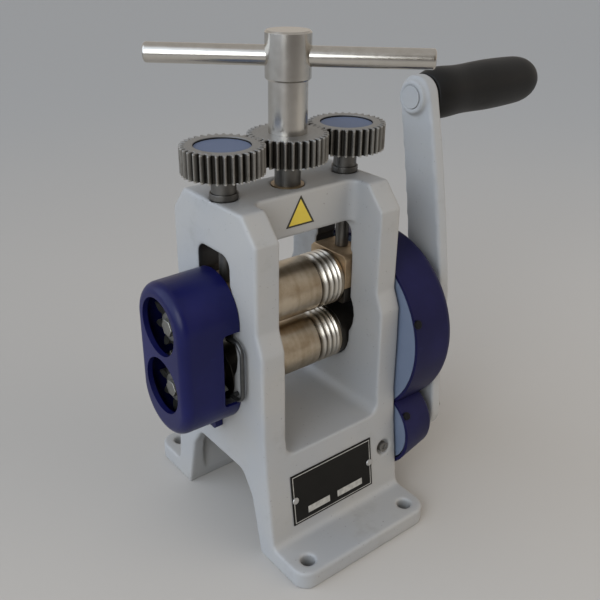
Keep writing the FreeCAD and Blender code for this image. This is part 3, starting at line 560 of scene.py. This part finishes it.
bolt_steel, point = new_finish("bolt_steel")
lay_on(point, Base_Color=point.noise(500.0, 3.0).mix((0.20, 0.20, 0.18), (0.34, 0.33, 0.30)),
       Roughness=0.38, Metallic=0.9, Normal=point.noise(1500.0).bump(0.00003))
dress(bolt_steel, "upper_gear_key", "lower_gear_key")
WASHER_R = 0.0095
WASHER_OUT = -0.0933
WASHER_IN = -0.0921
SHANK_R = 0.0040
SHANK_END = -0.0800
HEX_CORNER = 0.0060
HEX_OUT = -0.0958
HEX_IN = -0.0932
for name in ("upper_roll", "lower_roll"):
    centre = middle(name + "_bolt")
    shape = bmesh.new()
    turn(shape, Vector((0, centre.y, centre.z)), ALONG_ROLL,
         [(WASHER_OUT, 0), (WASHER_OUT, WASHER_R), (WASHER_IN, WASHER_R), (WASHER_IN, SHANK_R),
          (SHANK_END, SHANK_R), (SHANK_END, 0)])
    corners = [math.radians(60 * k) for k in range(6)]
    extrude(shape, [(HEX_CORNER * math.cos(turned), centre.z + HEX_CORNER * math.sin(turned))
                    for turned in corners], HEX_OUT, HEX_IN)
    bolt = stand_in(name + "_end_bolt", shape, bolt_steel, name, name + "_bolt")
    break_edges(0.0004, bolt)


# Bearings. The lower roll turns in near black steel bushes, and the upper roll hangs in square bronze
# blocks that slide in the uprights, each closed below by a steel keeper. All stand proud inwards.

lower_axis = middle("lower_bearings")
upper_z = middle("upper_roll").z
SIDES = ((-0.0593, -0.0369), (0.0369, 0.0593))
BORE_R = JOURNAL_R + 0.00005
BUSH_R = 0.0194


def arch(level, direction):
    """Half round edge of a bore, from one side to the other over the top (1) or the bottom (-1)."""
    half = math.sqrt(BORE_R ** 2 - level ** 2)
    first = math.atan2(abs(level), half)
    sweep = math.pi + 2 * first * (1 if level * direction < 0 else -1)
    start = math.atan2(level, half)
    return [(BORE_R * math.cos(start + direction * sweep * k / 24),
             upper_z + BORE_R * math.sin(start + direction * sweep * k / 24)) for k in range(25)]


finish, point = new_finish("block_bronze")
rub = point.noise(70.0, 4.0, 0.6)
scratch = point.stretch(1, 1, 0.06).noise(1400.0, 2.0)
lay_on(point, Base_Color=rub.step(0.3, 0.7).mix((0.30, 0.20, 0.115), (0.50, 0.37, 0.23)), Metallic=0.75,
       Roughness=0.40 + scratch * 0.18, Normal=scratch.bump(0.00003))
BLOCK_HALF = 0.0193
BLOCK_LOW = -0.0042
BLOCK_HIGH = 0.0205
BLOCK_CORNER = 0.0030
block = [(-BLOCK_HALF, upper_z + BLOCK_LOW), (-BLOCK_HALF, upper_z + BLOCK_HIGH - BLOCK_CORNER),
         (-BLOCK_HALF + BLOCK_CORNER, upper_z + BLOCK_HIGH),
         (BLOCK_HALF - BLOCK_CORNER, upper_z + BLOCK_HIGH),
         (BLOCK_HALF, upper_z + BLOCK_HIGH - BLOCK_CORNER), (BLOCK_HALF, upper_z + BLOCK_LOW)]
shape = bmesh.new()
for start, end in SIDES:
    extrude(shape, block + arch(BLOCK_LOW, 1), start, end)
upper_blocks = stand_in("upper_blocks", shape, finish, "carriage", "upper_bearings")
# The keepers and the lower bushes are near black steel.
finish, point = new_finish("near_black_steel")
lay_on(point, Base_Color=point.noise(90.0, 3.0).mix((0.030, 0.027, 0.023), (0.075, 0.066, 0.055)),
       Metallic=0.8, Roughness=0.36, Normal=point.noise(900.0).bump(0.00003))
KEEPER_HALF = 0.0190
KEEPER_LOW = -0.0165
KEEPER_HIGH = -0.0043
KEEPER_CORNER = 0.0020
keeper = [(-KEEPER_HALF, upper_z + KEEPER_HIGH), (-KEEPER_HALF, upper_z + KEEPER_LOW + KEEPER_CORNER),
          (-KEEPER_HALF + KEEPER_CORNER, upper_z + KEEPER_LOW),
          (KEEPER_HALF - KEEPER_CORNER, upper_z + KEEPER_LOW),
          (KEEPER_HALF, upper_z + KEEPER_LOW + KEEPER_CORNER), (KEEPER_HALF, upper_z + KEEPER_HIGH)]
shape = bmesh.new()
for start, end in SIDES:
    extrude(shape, keeper + arch(KEEPER_HIGH, -1), start, end)
keepers = stand_in("block_keepers", shape, finish, "carriage", "bearing_keepers")
shape = bmesh.new()
for start, end in SIDES:
    turn(shape, Vector((0, lower_axis.y, lower_axis.z)), ALONG_ROLL,
         [(start, BORE_R), (start, BUSH_R), (end, BUSH_R), (end, BORE_R)])
bushes = stand_in("lower_bushes", shape, finish, "root", "lower_bearings")
break_edges(0.0005, upper_blocks, keepers, bushes)


# Lift spring. A hairpin of dark spring wire that pushes the upper roll up when the screws are
# opened. Its low end is bent into the frame, and its high end into a keeper.

finish, point = new_finish("spring_wire")
lay_on(point, Base_Color=point.noise(300.0, 3.0).mix((0.055, 0.055, 0.055), (0.13, 0.13, 0.125)),
       Metallic=0.9, Roughness=0.36, Normal=point.noise(1500.0).bump(0.00002))
dress(finish, "lift_spring")


# Pressure screws, their nuts and dust rings. Blackened steel screws with a plain turned neck pass
# through bronze nuts pressed into the frame.

finish, point = new_finish("screw_steel")
turning = point.stretch(0.03, 0.03, 1).noise(3000.0, 3.0, 0.7)
smear = point.noise(120.0, 3.0)
lay_on(point, Base_Color=smear.mix((0.085, 0.080, 0.072), (0.20, 0.19, 0.175)), Metallic=0.9,
       Roughness=0.28 + turning * 0.2, Normal=turning.bump(0.00003))
dress(finish, "screw_collars", "centre_shaft")
TIP_R = 0.0048
TIP_BREAK = 0.0006
THREAD_R = 0.0065
NECK_R = 0.00795
SEAT_R = 0.0060
TIP_TOP = 0.2170
THREAD_TOP = 0.2470
NECK_TOP = 0.2620
for name in ("left_screw", "right_screw"):
    low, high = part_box(name)
    centre = middle(name)
    shape = bmesh.new()
    turn(shape, Vector((centre.x, centre.y, 0)), Vector((0, 0, 1)),
         [(low[2], 0), (low[2], 0.0042), (low[2] + TIP_BREAK, TIP_R), (TIP_TOP, TIP_R), (TIP_TOP, THREAD_R),
          (THREAD_TOP, THREAD_R), (THREAD_TOP, NECK_R), (NECK_TOP, NECK_R), (NECK_TOP, SEAT_R),
          (high[2], SEAT_R), (high[2], 0)])
    stand_in(name + "_turned", shape, finish, name, name)
break_edges(0.0004, "screw_collars")

finish, point = new_finish("nut_bronze")
lay_on(point, Base_Color=point.noise(300.0, 3.0).mix((0.30, 0.21, 0.12), (0.46, 0.34, 0.20)),
       Metallic=0.8, Roughness=0.4, Normal=point.noise(900.0).bump(0.00003))
dress(finish, "screw_nuts", "centre_bush")


# Screw-down gears. Three equal spur gears link both screws to the tee handle. They are milled
# from turned blanks, so the tooth ends are bevelled. The tooth ends carry a painted highlight,
# the gaps get painted shade, and dark oil lies in patches.

GEAR_TIP = 0.02625
GEAR_ROOT = 0.02290
gear_low, gear_high = (corner[2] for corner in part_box("centre_gear"))
for name in ("left_screw_gear", "centre_gear", "right_screw_gear"):
    finish, point = new_finish(name + "_steel")
    centre = middle(name)
    radius = point.from_axis(centre, (1, 1, 0))
    reach = radius.step(GEAR_ROOT, GEAR_TIP - 0.0004)
    height = point.axis(2)
    top = height.step(gear_high - 0.0009, gear_high - 0.0001)
    feed_marks = point.stretch(1, 1, 0.05).noise(1300.0, 3.0, 0.7)
    oil = point.noise(75.0, 4.0, 0.65)
    # Painted shade: the teeth darken towards their roots.
    tooth = reach.mix((0.020, 0.017, 0.013), (0.24, 0.225, 0.20))
    tooth = (oil.step(0.45, 0.75) * 0.55).mix(tooth, (0.075, 0.062, 0.045))
    to_end = (gear_high - height).below(height - gear_low)
    # Painted highlight: a bright band round the tooth tips at both ends.
    painted_tip_highlight = (1 - to_end.step(0.0009, 0.0012)) * radius.step(GEAR_TIP - 0.0012, GEAR_TIP - 0.0009)
    tooth = painted_tip_highlight.mix(tooth, (0.46, 0.44, 0.40))
    face = radius.noise(900.0, 2.0).mix((0.23, 0.225, 0.215), (0.35, 0.345, 0.335))
    colour = top.mix(tooth, face)
    lay_on(point, Base_Color=colour, Metallic=0.8, Roughness=0.36 + feed_marks * 0.16,
           Normal=feed_marks.bump(0.00005))
    dress(finish, name)
break_edges(0.0005, "left_screw_gear", "centre_gear", "right_screw_gear", segments=1)

finish, point = new_finish("disc_card")
speckle = point.noise(700.0, 3.0, 0.7)
mottle = speckle * 0.6 + point.noise(60.0, 3.0) * 0.4
lay_on(point, Base_Color=mottle.mix((0.085, 0.115, 0.195), (0.125, 0.160, 0.250)), Roughness=0.6,
       Normal=speckle.bump(0.00004))
dress(finish, "left_gear_disc", "right_gear_disc")
break_edges(0.0004, "left_gear_disc", "right_gear_disc")


# Tee handle. A turned steel stem with a thick head, cross drilled for a sliding round bar. Both
# are polished and nickel plated.

finish, point = new_finish("nickel_plate")
polish = point.noise(220.0, 3.0)
lay_on(point, Base_Color=polish.mix((0.52, 0.49, 0.44), (0.63, 0.60, 0.55)), Metallic=1.0,
       Roughness=0.16 + polish * 0.10, Normal=polish.bump(0.00002))
dress(finish, "tee_stem", "tee_bar")
break_edges(0.0005, "tee_stem", "tee_bar")


# Left cover. A moulded navy cup with two round windows, held by two cap screws through its lugs.
# Its skin has a fine moulded grain and a few fine scratches.

def moulded(name, dark, light, roughness=0.34, shine=0.18):
    """Moulded plastic: slight clouding, fine grain and a few fine scratches."""
    finish, point = new_finish(name)
    clouds = point.noise(26.0, 3.0)
    grain = point.noise(1500.0, 2.0)
    scratches = point.stretch(0.15, 1, 1).noise(420.0, 4.0, 0.8).step(0.66, 0.70) * 0.25
    colour = clouds.step(0.35, 0.7).mix(dark, light)
    colour = scratches.mix(colour, tuple(channel * 2.0 + 0.01 for channel in light))
    lay_on(point, Base_Color=colour, Roughness=roughness + clouds * 0.10, Specular_IOR_Level=shine,
           Normal=(grain * 0.4 + clouds * 0.6).bump(0.00008))
    return finish


# Painted light: the left cover is the same navy plastic as the right covers, painted lighter and bluer as
# its lit copy.
dress(moulded("navy_left_cover_lit", (0.0050, 0.0060, 0.056), (0.0078, 0.0090, 0.076), 0.28, 0.24),
      "left_cover")
break_edges(0.0007, "left_cover", segments=3)
finish, point = new_finish("cap_screw_steel")
lay_on(point, Base_Color=point.noise(600.0, 3.0).mix((0.012, 0.012, 0.014), (0.028, 0.028, 0.030)),
       Roughness=0.42, Metallic=0.85, Normal=point.noise(1500.0).bump(0.00003))
dress(finish, "left_cover_screws", "back_plate_screws", "gear_cover_screws", "pinion_cover_screws")
break_edges(0.0003, "left_cover_screws", "back_plate_screws", "gear_cover_screws", "pinion_cover_screws")


# Right covers. A round navy drum over the large gear and a tapered one over the pinion, both
# closed behind by a sheet that four screws and spacers hold on the upright.

# Painted shade: the right covers are the same plastic, painted darker as its shaded copy.
dress(moulded("navy_right_covers_shaded", (0.0070, 0.0066, 0.040), (0.0100, 0.0095, 0.056), 0.42),
      "gear_cover", "pinion_cover")
break_edges(0.0006, "gear_cover", "pinion_cover", segments=3)
finish, point = new_finish("sheet_paint")
lay_on(point, Base_Color=point.noise(60.0, 3.0).mix((0.130, 0.165, 0.235), (0.165, 0.200, 0.275)),
       Roughness=0.45, Normal=point.noise(900.0).bump(0.00004))
dress(finish, "gear_back_plate")


# Drive train. A large spur gear on the lower roll and a pinion on the crank shaft, both keyed or
# shrunk on, with a bronze flanged bush in the frame. Their tooth gaps get painted shade.

DRIVE_STEEL = (0.20, 0.195, 0.18)
DRIVE_ROOT_SHADE = (0.040, 0.034, 0.024)
for name, tip, root in (("drive_gear", 0.064, 0.0595), ("pinion", 0.023, 0.0185)):
    dress(cut_gear(name + "_steel", middle(name), (0, 1, 1), tip, root, DRIVE_STEEL, DRIVE_ROOT_SHADE), name)
dress(bolt_steel, "drive_gear_key", "drive_gear_nut", "crank_nut")
dress(bpy.data.materials["nut_bronze"], "pinion_bush")
dress(bpy.data.materials["screw_steel"], "crank_shaft")
break_edges(0.0004, "drive_gear", "pinion", "drive_gear_nut", "crank_nut")


# Crank arm. A flat steel bar, forged to a round boss at each end, cranked outwards near the hub
# and sprayed with the same enamel as the frame, painted here as a lighter, lit copy of it.

cast_edges(0.0009, 4, "crank_arm")
# Painted light: the arm's enamel is set lighter than the frame's.
ARM_LIT_COOL = (0.395, 0.408, 0.420)
ARM_LIT_WARM = (0.410, 0.410, 0.400)
dress(enamel("arm_enamel_lit", ARM_LIT_COOL, ARM_LIT_WARM), "crank_arm")


# Grip. A barrel of near black plastic turns on a steel pin that is screwed into the arm, under a
# domed steel cap. The pin's head is painted together with the arm.

finish, point = new_finish("grip_plastic")
worn = point.noise(40.0, 3.0)
turning = point.stretch(1, 0.04, 0.04).noise(2600.0, 2.0)
lay_on(point, Base_Color=worn.mix((0.0070, 0.0066, 0.0062), (0.013, 0.0125, 0.012)),
       Specular_IOR_Level=0.22, Roughness=0.40 + worn * 0.14,
       Normal=(turning * 0.3 + worn * 0.7).bump(0.00010))
dress(finish, "grip")

finish, point = new_finish("grip_pin_steel")
steel = point.noise(500.0, 3.0).mix((0.20, 0.20, 0.18), (0.34, 0.33, 0.30))
ARM_FACE = 0.1090
past_arm = point.axis(0).step(ARM_FACE, ARM_FACE + 0.0002)
paint = point.noise(14.0, 3.0).step(0.36, 0.66).mix(ARM_LIT_COOL, ARM_LIT_WARM)
lay_on(point, Base_Color=past_arm.mix(paint, steel), Metallic=past_arm * 0.9,
       Roughness=0.42 - past_arm * 0.06, Normal=point.noise(1100.0).bump(0.00003))
dress(finish, "grip_pin")
break_edges(0.0008, "grip", angle=20, segments=3)
break_edges(0.0004, "grip_pin")
